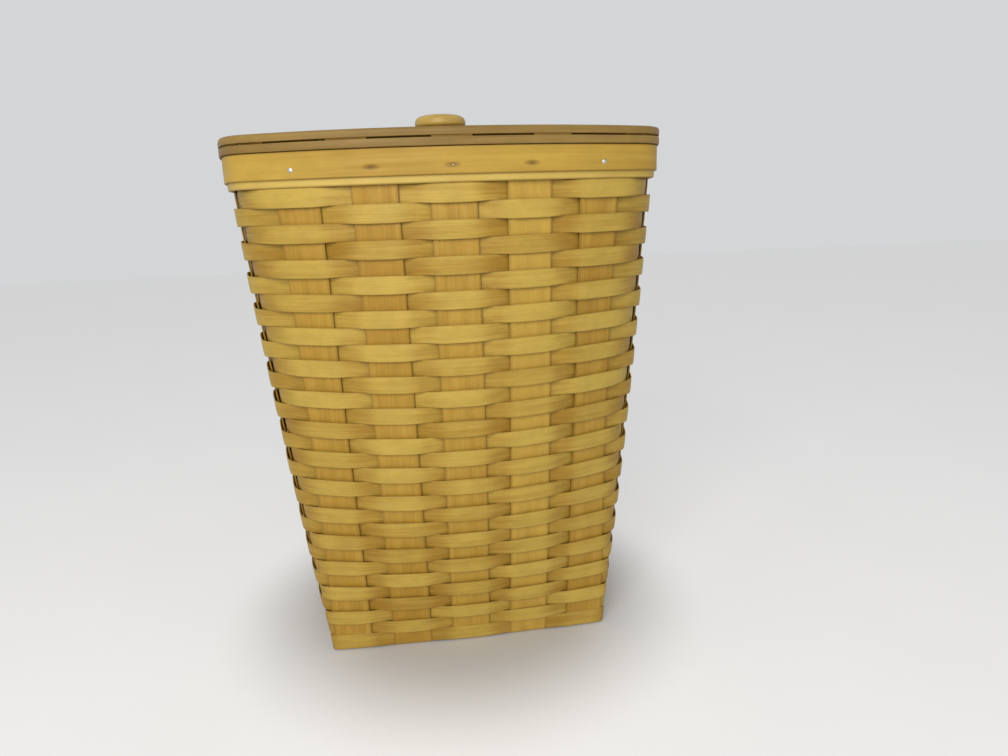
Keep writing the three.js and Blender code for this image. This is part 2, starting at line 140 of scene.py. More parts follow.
# %% Grain along a strip
def make_grain_group():
    """Fine streaks and broad bands that are drawn out along the strip, and a cloudy mottle across it."""
    inputs = {"Strip": "Vector", "Streak Length": "Float", "Streak Width": "Float"}
    outputs = {"Streaks": "Float", "Bands": "Float", "Mottle": "Float"}
    tree, start, end = new_group("splint grain", inputs, outputs)
    parts = add_node(tree, "SeparateXYZ", Vector=start.outputs["Strip"])

    def noise(length_factor, width_factor, detail):
        """Noise that is drawn out to a multiple of the streak's own length and width."""
        length = maths(tree, "MULTIPLY", start.outputs["Streak Length"], length_factor)
        width = maths(tree, "MULTIPLY", start.outputs["Streak Width"], width_factor)
        place = add_node(tree, "CombineXYZ", X=maths(tree, "DIVIDE", parts.outputs[0], length),
                         Y=maths(tree, "DIVIDE", parts.outputs[1], width))
        pattern = add_node(tree, "TexNoise", Vector=place.outputs[0], Scale=1.0, Detail=detail,
                           Roughness=0.6)
        return pattern.outputs[0]

    plug(tree, ramp(tree, noise(1, 1, 3), 0.3, 0.7), end.inputs["Streaks"])
    plug(tree, ramp(tree, noise(2.5, 6, 2), 0.33, 0.67), end.inputs["Bands"])
    plug(tree, ramp(tree, noise(0.35, 9, 4), 0.3, 0.7), end.inputs["Mottle"])
    return tree


GRAIN = make_grain_group()
print("made the group", GRAIN.name, "with", len(GRAIN.nodes), "nodes")


# %% Colour of aged splint
STREAK_SHARE, BAND_SHARE = 0.22, 0.26
PALE_DEPTH, DEEP_DEPTH = 0.25, 1.35
# The colour is darker at the very edges of each strip, turning towards the dusky colour.
EDGE_START, EDGE_END, EDGE_DARKENING = 0.84, 1.0, 0.36
# Past an edge value of 1, round the tacks, the colour darkens: iron stain and painted shade of the dents.
STAIN_AND_SHADE_START, STAIN_AND_SHADE_END, STAIN_AND_SHADE_SHARE = 1.02, 1.6, 0.5
CLOUD_SHARE = 0.16
SMOOTH, ROUGH = 0.46, 0.6


def make_splint_colour_group():
    """Mixes a pale, a deep and a dusky wood colour by the grain, the strip's tone and its edges."""
    inputs = {name: "Float" for name in ("Streaks", "Bands", "Mottle")}
    inputs |= {"Tone": "Vector", "Pale": "Color", "Deep": "Color", "Dusky": "Color"}
    outputs = {"Color": "Color", "Roughness": "Float"}
    tree, start, end = new_group("aged splint colour", inputs, outputs)
    tone = add_node(tree, "SeparateXYZ", Vector=start.outputs["Tone"])
    grain = maths(tree, "MULTIPLY_ADD", start.outputs["Streaks"], STREAK_SHARE, tone.outputs[0])
    depth = maths(tree, "MULTIPLY_ADD", start.outputs["Bands"], BAND_SHARE, grain)
    wood = mix_colours(tree, ramp(tree, depth, PALE_DEPTH, DEEP_DEPTH), start.outputs["Pale"],
                       start.outputs["Deep"])
    edge = ramp(tree, tone.outputs[1], EDGE_START, EDGE_END)
    stain_and_shade = maths(tree, "MULTIPLY", ramp(tree, tone.outputs[1], STAIN_AND_SHADE_START, STAIN_AND_SHADE_END), STAIN_AND_SHADE_SHARE)
    darkening = maths(tree, "MULTIPLY_ADD", edge, EDGE_DARKENING, stain_and_shade)
    darkened_wood = mix_colours(tree, darkening, wood, start.outputs["Dusky"])
    cloud = add_node(tree, "MapRange", Value=start.outputs["Mottle"], To_Min=0.0, To_Max=CLOUD_SHARE)
    plug(tree, mix_colours(tree, cloud.outputs[0], darkened_wood, start.outputs["Dusky"]), end.inputs["Color"])
    rough = add_node(tree, "MapRange", Value=start.outputs["Streaks"], To_Min=SMOOTH, To_Max=ROUGH)
    plug(tree, rough.outputs[0], end.inputs["Roughness"])
    return tree


SPLINT_COLOUR = make_splint_colour_group()
print("made the group", SPLINT_COLOUR.name, "with", len(SPLINT_COLOUR.nodes), "nodes")


# %% [markdown]
# ## Wood finishes
# The weavers are honey-yellow, the stakes behind them a little more orange, the rim smooth and even,
# and the lid's hoops browner and greyer. Each is the same recipe with its own three colours and its own
# streaks. The thin coat of oil is the shader's coat, with a constant value on its own socket.

# %% Shader of oiled wood
def empty_material(name):
    """A material whose nodes are all still to be added, and its node tree."""
    material = bpy.data.materials.new(name)
    material.use_nodes = True
    material.node_tree.nodes.clear()
    return material, material.node_tree


def wood_shader(tree, strip, colours, streak_length, streak_width, fibre, fibre_height):
    """Shader of wood whose grain follows the map strip, in a pale, a deep and a dusky colour."""
    pale, deep, dusky = (colour(*levels) for levels in colours)
    tone = add_node(tree, "UVMap", {"uv_map": "tone"})
    grain = add_node(tree, "Group", {"node_tree": GRAIN}, Strip=strip,
                     Streak_Length=streak_length, Streak_Width=streak_width)
    masks = {mask: grain.outputs[mask] for mask in ("Streaks", "Bands", "Mottle")}
    tint = add_node(tree, "Group", {"node_tree": SPLINT_COLOUR}, Tone=tone.outputs[0],
                    Pale=pale, Deep=deep, Dusky=dusky, **masks)
    bump = add_node(tree, "Bump", Strength=fibre, Distance=fibre_height, Height=masks["Streaks"])
    shader = add_node(tree, "BsdfPrincipled", Base_Color=tint.outputs["Color"],
                      Roughness=tint.outputs["Roughness"], Normal=bump.outputs[0])
    add_node(tree, "OutputMaterial", Surface=shader.outputs[0])
    return shader


print("the grain has", len(GRAIN.interface.items_tree), "sockets, the colour",
      len(SPLINT_COLOUR.interface.items_tree))

# %% Splint woods
# Pale, deep and dusky colour on screen; length and width of a streak in metres; strength of the fibre.
SPLINTS = {
    "honey weaver splint": ((208, 177, 81), (168, 126, 38), (108, 76, 24), 0.05, 0.0011, 0.35),
    "amber stake splint": ((207, 169, 73), (178, 134, 43), (102, 70, 20), 0.06, 0.0016, 0.35),
    "bent rim band": ((206, 170, 74), (182, 142, 48), (104, 76, 28), 0.09, 0.0022, 0.2),
    "pale trim band": ((224, 194, 102), (204, 172, 82), (140, 106, 48), 0.08, 0.0018, 0.2),
    "brown lid hoop": ((164, 134, 70), (128, 98, 46), (80, 58, 26), 0.07, 0.0018, 0.35),
    "lid panel splint": ((184, 148, 70), (148, 110, 44), (92, 64, 26), 0.06, 0.0016, 0.35),
}
FIBRE_HEIGHT = 0.4 * MM


def make_wood(name, pale, deep, dusky, streak_length, streak_width, fibre):
    """Splint with a thin, dull coat of oil; its grain follows the strip's own map."""
    material, tree = empty_material(name)
    strip = add_node(tree, "UVMap", {"uv_map": "strip"})
    shader = wood_shader(tree, strip.outputs[0], (pale, deep, dusky), streak_length, streak_width,
                         fibre, FIBRE_HEIGHT)
    shader.inputs["Specular IOR Level"].default_value = 0.3
    shader.inputs["Coat Weight"].default_value = 0.06
    shader.inputs["Coat Roughness"].default_value = 0.4
    return material


WEAVER_WOOD, STAKE_WOOD, RIM_WOOD, TRIM_WOOD, LID_WOOD, LID_SPLINT_WOOD = (
    make_wood(name, *recipe) for name, recipe in SPLINTS.items()
)
print("wood finishes:", len(bpy.data.materials))

# %% [markdown]
# ## Knob and steel finishes
# A turned knob is cut from a block, so its grain goes straight through it: it follows the knob's own
# space, not a strip. Steel tacks and the screw are dull metal with small dark spots.

# %% Knob wood
GRAIN_SLOPE = 0.6
KNOB_COLOURS = (214, 182, 92), (176, 140, 60), (104, 76, 32)


def make_knob_wood():
    """Smooth oiled wood whose grain runs through the block, a little tilted."""
    material, tree = empty_material("turned knob wood")
    block = add_node(tree, "SeparateXYZ", Vector=add_node(tree, "TexCoord").outputs["Object"])
    across = maths(tree, "MULTIPLY_ADD", block.outputs[2], GRAIN_SLOPE, block.outputs[1])
    place = add_node(tree, "CombineXYZ", X=block.outputs[0], Y=across)
    shader = wood_shader(tree, place.outputs[0], KNOB_COLOURS, 0.03, 0.0012, 0.15, 0.3 * MM)
    shader.inputs["Coat Weight"].default_value = 0.2
    return material


KNOB_WOOD = make_knob_wood()
print("made", KNOB_WOOD.name)


# %% Dull steel
def make_steel():
    """Metal with small dark spots, which are rougher than the rest."""
    material, tree = empty_material("dull steel")
    space = add_node(tree, "TexCoord")
    spots = add_node(tree, "TexNoise", Vector=space.outputs["Object"], Scale=900.0, Detail=3.0)
    dark = ramp(tree, spots.outputs[0], 0.5, 0.72)
    tint = mix_colours(tree, dark, colour(206, 204, 196), colour(104, 96, 84))
    rough = add_node(tree, "MapRange", Value=dark, To_Min=0.3, To_Max=0.6)
    bump = add_node(tree, "Bump", Strength=0.2, Distance=0.1 * MM, Height=spots.outputs[0])
    shader = add_node(tree, "BsdfPrincipled", Base_Color=tint, Roughness=rough.outputs[0],
                      Normal=bump.outputs[0])
    shader.inputs["Metallic"].default_value = 1.0
    add_node(tree, "OutputMaterial", Surface=shader.outputs[0])
    return material


STEEL = make_steel()
print("finishes:", len(bpy.data.materials))

# %% [markdown]
# ## One way to make every strip
# A weaver, a stake, a rim band and a lid hoop are all one section carried along a line. A curve object
# with a bevel could do that, but it twists where the line turns, and it gives no map across the strip.
# So a small sweep builds the mesh itself: stations along the line, each with a place, a direction across
# the strip and a direction outward. The corners of the section are rounded, so edges catch the light.

# %% Sections
CORNER_POINTS = 3


def rounded_section(corners, radii):
    """Outline of a section whose corners (across, outward) are rounded, each by its own radius."""
    points = []
    count = len(corners)
    for i, radius in enumerate(radii):
        corner = np.array(corners[i], float)
        before = np.array(corners[i - 1], float) - corner
        after = np.array(corners[(i + 1) % count], float) - corner
        start = corner + before / np.linalg.norm(before) * radius
        end = corner + after / np.linalg.norm(after) * radius
        for t in np.linspace(0, 1, CORNER_POINTS):
            points.append((1 - t) ** 2 * start + 2 * t * (1 - t) * corner + t**2 * end)
    return np.array(points)


EDGE_EASE, FACE_SHARE, FACE_POINTS = 0.42, 0.8, 5


def splint_section(width, thick, crown):
    """A flat strip with eased edges and an outer face that is slightly crowned."""
    half_width, half_thick = width / 2, thick / 2
    corners = [(-half_width, half_thick), (-half_width, -half_thick),
               (half_width, -half_thick), (half_width, half_thick)]
    outline = rounded_section(corners, [thick * EDGE_EASE] * 4)
    across = np.linspace(FACE_SHARE, -FACE_SHARE, FACE_POINTS) * half_width
    face = np.stack([across, np.full(FACE_POINTS, half_thick)], axis=1)
    outline = np.concatenate([outline, face])
    outline[:, 1] += crown * (1 - (outline[:, 0] / half_width) ** 2)
    return outline


print("a splint's section has", len(splint_section(12 * MM, 1 * MM, 0)), "points")


# %% The sweep
def unit(vectors):
    return vectors / np.linalg.norm(vectors, axis=-1, keepdims=True)


def sweep(name, places, across, outward, section, closed, tones, map_start):
    """Mesh of a section (across, outward) carried along stations."""
    points = places[:, None] + across[:, None] * section[:, :1] + outward[:, None] * section[:, 1:]
    return strip_mesh(name, points, section, closed, tones, map_start)


def strip_mesh(name, points, section, closed, tones, map_start, stains_and_shade=0.0):
    """Closed mesh over rings of points, with both maps; an open line gets a cap on each end."""
    count, corners = points.shape[:2]
    i, k = np.meshgrid(np.arange(count if closed else count - 1), np.arange(corners), indexing="ij")
    i, k = np.stack([i, i, i + 1, i + 1], -1), np.stack([k, k + 1, k + 1, k], -1)
    faces = (i % count * corners + k % corners).reshape(-1, 4).tolist()
    middle = points.mean(axis=1)
    length = np.append(0, np.cumsum(np.linalg.norm(np.roll(middle, -1, axis=0) - middle, axis=1)))
    edges = np.linalg.norm(np.roll(section, -1, axis=0) - section, axis=1)
    girth = map_start + np.append(0, np.cumsum(edges))
    side = section[:, 0] - (section[:, 0].max() + section[:, 0].min()) / 2
    edge = np.maximum(np.abs(side) / np.abs(side).max(), stains_and_shade)
    tones = np.asarray(tones, float)
    tones = np.broadcast_to(tones[:, None] if tones.ndim == 1 else tones, (count, corners))
    edge = np.broadcast_to(edge, (count, corners))
    strip_map = np.stack([length[i], girth[k]], -1).reshape(-1, 2)
    tone_map = np.stack([tones[i % count, k % corners], edge[i % count, k % corners]], -1).reshape(-1, 2)
    for end in () if closed else (0, count - 1):
        ring = np.arange(corners)[::-1] if end else np.arange(corners)
        faces.append((end * corners + ring).tolist())
        cap_strip = np.stack([np.full(corners, length[end]), girth[ring]], -1)
        cap_tone = np.stack([tones[end, ring], edge[end, ring]], -1)
        strip_map, tone_map = np.concatenate([strip_map, cap_strip]), np.concatenate([tone_map, cap_tone])
    return solid_mesh(name, points.reshape(-1, 3), faces, [strip_map, tone_map])


print("a strip's maps: metres along and across, and its tone and edge")


# %% Closed meshes and pieces
def solid_mesh(name, points, faces, maps):
    """Closed mesh with smooth shading, its faces turned outward, and the maps strip and tone."""
    mesh = bpy.data.meshes.new(name)
    mesh.from_pydata([tuple(p) for p in points], [], faces)
    for layer, values in zip(("strip", "tone"), maps):
        mesh.uv_layers.new(name=layer).data.foreach_set("uv", np.asarray(values, np.float32).ravel())
    mesh.polygons.foreach_set("use_smooth", [True] * len(mesh.polygons))
    mesh.calc_loop_triangles()
    triangles = np.array([t.vertices for t in mesh.loop_triangles])
    a, b, c = (np.asarray(points)[triangles[:, n]] for n in range(3))
    if np.einsum("ij,ij->i", a, np.cross(b, c)).sum() < 0:
        mesh.flip_normals()
    return mesh


def add_piece(mesh, material, body, nodes=()):
    """Object of a mesh that rides on a body, stands for CAD nodes and takes its finish from a slot."""
    piece = bpy.data.objects.new(mesh.name, mesh)
    bpy.context.scene.collection.objects.link(piece)
    mesh.materials.append(material)
    shading = piece.modifiers.new("shade flat faces flat", "WEIGHTED_NORMAL")
    shading.keep_sharp = True
    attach(piece, body)
    if nodes:
        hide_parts(*nodes)
    return piece


# %% [markdown]
# ## The shape of the wall
# The basket is narrow at its foot and bowed at its mouth. Its section is given at the foot, halfway up
# and at the top, through the middle of the stakes, and everything between follows a smooth curve. There
# are five stakes on the front and back and three on each side, counted round from the front left.

# %% Sizes of the wall
FRONT_STAKES, SIDE_STAKES = 5, 3
STAKES = 2 * (FRONT_STAKES + SIDE_STAKES)
STAKE_WIDTH, STAKE_THICK = 33 * MM, 1.4 * MM
HALF_WIDTH = np.array([123, 150.5, 168.5]) * MM
HALF_DEPTH = np.array([76, 117.5, 130]) * MM
FRONT_CURVE = 1 / (np.array([2400, 260, 350]) * MM)
SIDE_CURVE = 1 / (np.array([900, 264, 264]) * MM)
FRONT_CORNER = np.array([3.8, 29.5, 43]) * MM
SIDE_CORNER = np.array([13.5, 50, 63.5]) * MM
weavers = sorted(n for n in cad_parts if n.startswith("weaver_"))
ROW_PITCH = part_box(weavers[0])[1].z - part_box(weavers[1])[1].z
ROW_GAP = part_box(weavers[0])[0].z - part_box(weavers[1])[1].z
WEAVE_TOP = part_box(weavers[0])[1].z + ROW_GAP / 2
WEAVE_FOOT = WEAVE_TOP - len(weavers) * ROW_PITCH
print(len(weavers), "rows of", round(ROW_PITCH / MM, 2), "mm from", round(WEAVE_FOOT / MM, 2), "mm up")


# %% Where a stake is at a height
def along(sizes, share):
    """A size that is given at the foot, halfway up and at the top, at a share of the height."""
    foot, middle, top = sizes
    slope = 4 * middle - 3 * foot - top
    bend = 2 * foot + 2 * top - 4 * middle
    return foot + slope * share + bend * share**2


def stake_frame(number, z):
    """Middle of an upright stake, the direction along its wall and the direction outward, all level."""
    index = number % STAKES
    for quarter, count in enumerate((FRONT_STAKES, SIDE_STAKES) * 2):
        if index < count:
            break
        index -= count
    on_front = quarter % 2 == 0
    own, corner, half, curve = (
        (HALF_WIDTH, FRONT_CORNER, HALF_DEPTH, FRONT_CURVE) if on_front
        else (HALF_DEPTH, SIDE_CORNER, HALF_WIDTH, SIDE_CURVE)
    )
    share = min(max(z / WEAVE_TOP, 0.0), 1.0)
    pitch = 2 * (along(own, share) - along(corner, share) - STAKE_WIDTH / 2) / (count - 1)
    position = (index - (count - 1) / 2) * pitch
    radius = 1 / along(curve, share)
    angle = math.asin(position / radius)
    place = np.array([position, -along(half, share) + radius * (1 - math.cos(angle))])
    run = np.array([math.cos(angle), math.sin(angle)])
    turn = math.radians(90 * quarter)
    spin = np.array([[math.cos(turn), -math.sin(turn)], [math.sin(turn), math.cos(turn)]])
    place, run = spin @ place, spin @ run
    return place, run, np.array([run[1], -run[0]])


print("front left stake at the top, mm:", (stake_frame(0, WEAVE_TOP)[0] / MM).round(1))

# %% [markdown]
# ## Weavers
# A weaver goes over one stake and under the next, and the next row does the opposite. Real splint is
# springy, so it doesn't lie flat on a stake: it bows out over it and dives behind the next one. The
# middle line of the wall is straight across each stake and rounded between stakes, and a wave moves
# the strip off that line. A hand-woven row is never quite even, so each bow is a little different.

# %% Line of one row
EDGE_RUN = 1.5 * MM
HALF_CROSSING = STAKE_WIDTH / 2 + EDGE_RUN
SPAN_STEPS, LINK_STEPS = 14, 25


def wall_line(z):
    """Points and outward directions round the wall at a height, and the stakes passed by each point."""
    points, phases = [], []
    for number in range(STAKES):
        place, run, _ = stake_frame(number, z)
        next_place, next_run, _ = stake_frame(number + 1, z)
        leave = place + run * HALF_CROSSING
        enter = next_place - next_run * HALF_CROSSING
        gap = enter - leave
        spread = run[0] * next_run[1] - run[1] * next_run[0]
        reach = (gap[0] * next_run[1] - gap[1] * next_run[0]) / spread
        control = leave + run * reach
        t = np.linspace(0, 1, LINK_STEPS)[:, None]
        link = (1 - t) ** 2 * leave + 2 * t * (1 - t) * control + t**2 * enter
        span = np.concatenate([[place], link, [next_place]])
        length = np.concatenate([[0], np.cumsum(np.linalg.norm(np.diff(span, axis=0), axis=1))])
        shares = np.arange(SPAN_STEPS) / SPAN_STEPS
        at = shares * length[-1]
        points.append(np.stack([np.interp(at, length, span[:, axis]) for axis in range(2)], -1))
        phases.append(number + shares)
    points, phases = np.concatenate(points), np.concatenate(phases)
    heading = unit(np.roll(points, -1, axis=0) - np.roll(points, 1, axis=0))
    return points, np.stack([heading[:, 1], -heading[:, 0]], -1), phases


def weave_wave(phases, row, evenness):
    """How far a row stands off the middle line: full over a stake, full behind the next."""
    wave = np.cos(math.pi * phases) * (1 if row % 2 else -1)
    wave = wave * (1.5 - 0.5 * wave**2)
    number = phases.astype(int)
    ease = phases - number
    ease = ease * ease * (3 - 2 * ease)
    size = evenness[number] * (1 - ease) + evenness[(number + 1) % STAKES] * ease
    return wave * size


def raised(points, z):
    return np.column_stack([points, np.full(len(points), z)])


top_line = wall_line(WEAVE_TOP)[0]
around = np.linalg.norm(np.roll(top_line, -1, axis=0) - top_line, axis=1).sum()
print("the top row is about", round(around / MM), "mm round")

# %% Edges of one row
# A row's edges swell over a stake and spread behind one, and the last row's lower edge reaches down.
SAG, RISE, TUCK, CLOSE = 0.8 * MM, 0.4 * MM, 1.7 * MM, 0.2 * MM
FOOT_DROP = 2.4 * MM


def row_edges(low, high, row, bow, evenness):
    """Both edges of a row, its outward directions and phases, and 1 where it bows over a stake."""
    drop = FOOT_DROP if row == len(weavers) else 0.0
    edges = []
    for z, over_by, behind_by in ((low - drop - CLOSE, -SAG, -TUCK), (high + CLOSE, RISE, TUCK)):
        points, outward, phases = wall_line(z)
        wave = weave_wave(phases, row, evenness)
        over, behind = np.clip(wave / bow, 0, 1) ** 2, np.clip(-wave / bow, 0, 1)
        edge = raised(points + outward * wave[:, None], z)
        if not drop:
            edge[:, 2] += over_by * over + behind_by * behind
        edges.append(edge)
    return edges, outward, phases, over


print("the last row reaches", round(FOOT_DROP / MM, 1), "mm further down")

# %% Weave all rows
WEAVER_THICK, CROWN, BOW = 1.0 * MM, 0.12 * MM, 2.8 * MM
FOOT_BOW = {len(weavers): 0.3, len(weavers) - 1: 0.7}
EVENNESS, ROW_TONES, CROSSING_TONES = (0.9, 1.12), (0.3, 0.62), (-0.18, 0.18)
# Tones that paint shade on a row behind a stake and a highlight on each bow over a stake.
BEHIND_PAINTED_SHADE, BOW_PAINTED_HIGHLIGHT = 0.16, 0.42
MAP_STEP = 0.07
BACK_STAKE = 10
weave_random = np.random.default_rng(31)
for row, node in enumerate(weavers, start=1):
    low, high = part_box(node)
    bow = BOW * FOOT_BOW.get(row, 1.0)
    evenness = weave_random.uniform(*EVENNESS, STAKES) * bow
    row_tone = weave_random.uniform(*ROW_TONES)
    crossing_tone = weave_random.uniform(*CROSSING_TONES, STAKES)
    edges, outward, phases, over = row_edges(low.z, high.z, row, bow, evenness)
    middle = (edges[0] + edges[1]) / 2
    across = (edges[1] - edges[0]) / (high.z - low.z)
    tones = row_tone + np.interp(phases, np.arange(STAKES), crossing_tone, period=STAKES)
    # A row's colour is painted lighter where it bows out over a stake, a painted highlight, and darker
    # behind a stake, painted shade.
    tones = tones + BEHIND_PAINTED_SHADE - BOW_PAINTED_HIGHLIGHT * over
    start = -SPAN_STEPS * (BACK_STAKE + row % 2)
    middle, across, outward, tones = (
        np.roll(values, start, axis=0) for values in (middle, across, raised(outward, 0.0), tones)
    )
    section = splint_section(high.z - low.z, WEAVER_THICK, CROWN)
    mesh = sweep(f"splint_{node}", middle, across, outward, section, True, tones, MAP_STEP * row)
    add_piece(mesh, WEAVER_WOOD, "basket", [node])
print("wove", len(weavers), "rows, each with", STAKES * SPAN_STEPS, "stations")

# %% [markdown]
# ## Stakes
# Each stake is one long strip: down one wall, round a tight bend, flat under the base and up the other
# wall. Under the base the two sets of stakes are woven plainly through each other. The rows squeeze a
# stake in and out a little, which shows as faint waves in the patches between the weavers.

# %% Line of one stake
BEND_RADIUS = 3 * MM
FIT = 0.3 * MM
STAKE_WAVE = 0.18 * MM
EASE_ROOM = 4 * MM
BASE_LOW = STAKE_THICK / 2
BASE_HIGH = BASE_LOW + STAKE_THICK + FIT
STAKE_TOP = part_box("side_stake_1")[1].z
TIP_STATIONS, ROW_STATIONS, BEND_STATIONS, BASE_STATIONS = 3, 4, 6, 58


def wall_stations(number, run_sign):
    """Stations of one wall of a stake, from its tip down to the flat of the base."""
    heights = np.concatenate([np.linspace(STAKE_TOP, WEAVE_TOP, TIP_STATIONS + 1)[:-1],
                              np.linspace(WEAVE_TOP, WEAVE_FOOT, ROW_STATIONS * len(weavers) + 1)])
    places, across = [], []
    for z in heights:
        place, run, out = stake_frame(number, z)
        rows_down = (WEAVE_TOP - z) / ROW_PITCH
        over = 1 if number % 2 == 0 else -1
        fade = 1 if 0 < rows_down < len(weavers) - 0.5 else 0
        place = place - out * over * fade * STAKE_WAVE * math.sin(math.pi * rows_down)
        places.append((*place, z))
        across.append((*(run * run_sign), 0))
    corner = np.array([*stake_frame(number, BASE_LOW)[0], BASE_LOW])
    inward = -raised(stake_frame(number, 0)[2][None], 0.0)[0]
    top, flat = np.array(places[-1]), corner + inward * BEND_RADIUS
    for t in np.linspace(0, 1, BEND_STATIONS + 1)[1:]:
        places.append((1 - t) ** 2 * top + 2 * t * (1 - t) * corner + t**2 * flat)
        across.append(across[-1])
    return np.array(places), np.array(across)


def woven_level(distance, crossings, levels, half_crossing):
    """Height along a strip that stays level at each crossing and eases to the next."""
    height = np.full(len(distance), levels[0], float)
    for i in range(len(crossings) - 1):
        start, end = crossings[i] + half_crossing, crossings[i + 1] - half_crossing
        room = max(end - start, EASE_ROOM)
        start = end - room if i else start
        t = np.clip((distance - start) / room, 0, 1)
        height += (levels[i + 1] - levels[i]) * t * t * (3 - 2 * t)
    return height


def stake_stations(first, second, axis, crossings, lows):
    """Whole line of a stake: down the wall of upright first, under the base, up the wall of second."""
    down, down_across = wall_stations(first, 1)
    up, up_across = wall_stations(second, -1)
    start, end = down[-1], up[-1]
    t = np.linspace(0, 1, BASE_STATIONS + 2)[1:-1, None]
    base = start + (end - start) * t
    ends = [start[axis] - HALF_CROSSING, end[axis] + HALF_CROSSING]
    levels = [BASE_LOW] + [BASE_LOW if low else BASE_HIGH for low in lows] + [BASE_LOW]
    base[:, 2] = woven_level(base[:, axis], [ends[0], *crossings, ends[1]], levels, HALF_CROSSING)
    base_across = np.repeat(down_across[-1:], len(base), axis=0)
    places = np.concatenate([down, base, up[::-1]])
    across = np.concatenate([down_across, base_across, up_across[::-1]])
    travel = unit(np.gradient(places, axis=0))
    return places, across, unit(np.cross(travel, across))


print("stakes end", round(STAKE_TOP / MM, 1), "mm up and lie at", round(BASE_HIGH / MM, 1), "mm at most")


# %% Lay the stakes
front_places = [stake_frame(i, 0)[0][0] for i in range(FRONT_STAKES)]
side_places = [stake_frame(FRONT_STAKES + j, 0)[0][1] for j in range(SIDE_STAKES)]
stake_lines = {}
for i in range(FRONT_STAKES):
    opposite = 2 * FRONT_STAKES + SIDE_STAKES - 1 - i
    lows = [(i + j) % 2 == 1 for j in range(SIDE_STAKES)]
    stake_lines[f"front_back_stake_{i + 1}"] = stake_stations(i, opposite, 1, side_places, lows)
for j in range(SIDE_STAKES):
    lows = [(i + j) % 2 == 0 for i in range(FRONT_STAKES)]
    ends = STAKES - 1 - j, FRONT_STAKES + j
    stake_lines[f"side_stake_{j + 1}"] = stake_stations(*ends, 0, front_places, lows)
stake_section = splint_section(STAKE_WIDTH, STAKE_THICK, 0)
FRONT_TONES, OTHER_TONES = (0.62, 0.66, 0.56, 0.24, 0.6), (0.4, 0.7)
DRIFT, DRIFT_POINTS = (-0.12, 0.12), 12
STAKE_MAP_STEP = 0.09
for number, (node, (places, across, outward)) in enumerate(stake_lines.items()):
    tone = FRONT_TONES[number] if number < FRONT_STAKES else weave_random.uniform(*OTHER_TONES)
    drift = np.interp(np.arange(len(places)), np.linspace(0, len(places), DRIFT_POINTS),
                      weave_random.uniform(*DRIFT, DRIFT_POINTS))
    mesh = sweep(f"splint_{node}", places, across, outward, stake_section, False, tone + drift,
                 STAKE_MAP_STEP * number)
    add_piece(mesh, STAKE_WOOD, "basket", [node])
print("laid", len(stake_lines), "stakes")

# %% [markdown]
# ## Rim
# Above the weave the stakes' tips are gripped between an inner band and a thick trim band, and a wide
# outer band is tacked over them. All run along one outline, a bowed rectangle of arcs with rounded
# corners. The outline is drawn once, finely, and each band picks its own stations along it, with more
# of them round the tacks, where the wood is dented.

# %% Outline of the rim
RIM_CORNER_RADIUS = 24 * MM
ARC_STEPS, CORNER_STEPS = 400, 200


def rim_outline():
    """Fine points and outward directions along the stakes' tips, from the middle of the front."""
    half_width, half_depth = HALF_WIDTH[2], HALF_DEPTH[2]
    front_radius, side_radius = 1 / FRONT_CURVE[2], 1 / SIDE_CURVE[2]
    front_centre = np.array([0, front_radius - half_depth])
    side_centre = np.array([half_width - side_radius, 0])
    from_front, from_side = front_radius - RIM_CORNER_RADIUS, side_radius - RIM_CORNER_RADIUS
    apart = side_centre - front_centre
    distance = np.linalg.norm(apart)
    share = (from_front**2 - from_side**2 + distance**2) / (2 * distance)
    direction = apart / distance
    square = np.array([-direction[1], direction[0]])
    corner = front_centre + direction * share + square * math.sqrt(from_front**2 - share**2)
    front_end = math.atan2(*((corner - front_centre) * (1, -1)))
    side_end = math.atan2(*((corner - side_centre) * (1, -1)))

    def arc(centre, radius, start, end, steps):
        angle = np.linspace(start, end, steps, endpoint=False)
        out = np.stack([np.sin(angle), -np.cos(angle)], -1)
        return centre + out * radius, out

    quarter = [arc(front_centre, front_radius, 0, front_end, ARC_STEPS),
               arc(corner, RIM_CORNER_RADIUS, front_end, side_end, CORNER_STEPS),
               arc(side_centre, side_radius, side_end, math.pi / 2, ARC_STEPS)]
    points = np.concatenate([q[0] for q in quarter])
    outs = np.concatenate([q[1] for q in quarter])
    end_point, end_out = np.array([[half_width, 0.0]]), np.array([[1.0, 0.0]])
    flip = np.array([1, -1])
    half = (np.concatenate([points, end_point, points[:0:-1] * flip]),
            np.concatenate([outs, end_out, outs[:0:-1] * flip]))
    return tuple(np.concatenate([part, -part, part[:1]]) for part in half)


OUTLINE, OUTLINE_OUT = rim_outline()
OUTLINE_LENGTH = np.append(0, np.cumsum(np.linalg.norm(np.diff(OUTLINE, axis=0), axis=1)))
GIRTH = OUTLINE_LENGTH[-1]
print("rim outline:", round(GIRTH / MM), "mm round")


# %% Hoops along the outline
HOOP_STATIONS = 220
PLAIN_LENGTHS = np.linspace(-GIRTH / 2, GIRTH / 2, HOOP_STATIONS, endpoint=False)


def outline_at(lengths):
    """Places and outward directions at lengths along the outline, at height 0."""
    values = (*OUTLINE.T, *OUTLINE_OUT.T)
    track = [np.interp(lengths % GIRTH, OUTLINE_LENGTH, value) for value in values]
    return raised(np.stack(track[:2], -1), 0.0), unit(raised(np.stack(track[2:], -1), 0.0))


def hoop(name, section, tones, map_start):
    """Closed hoop: its section's corners are height above the floor and distance outward."""
    places, outward = outline_at(PLAIN_LENGTHS)
    upright = np.tile((0.0, 0.0, 1.0), (len(places), 1))
    return sweep(name, places, upright, outward, section, True, tones, map_start)


print("a plain hoop has a station every", round(GIRTH / HOOP_STATIONS / MM, 1), "mm")

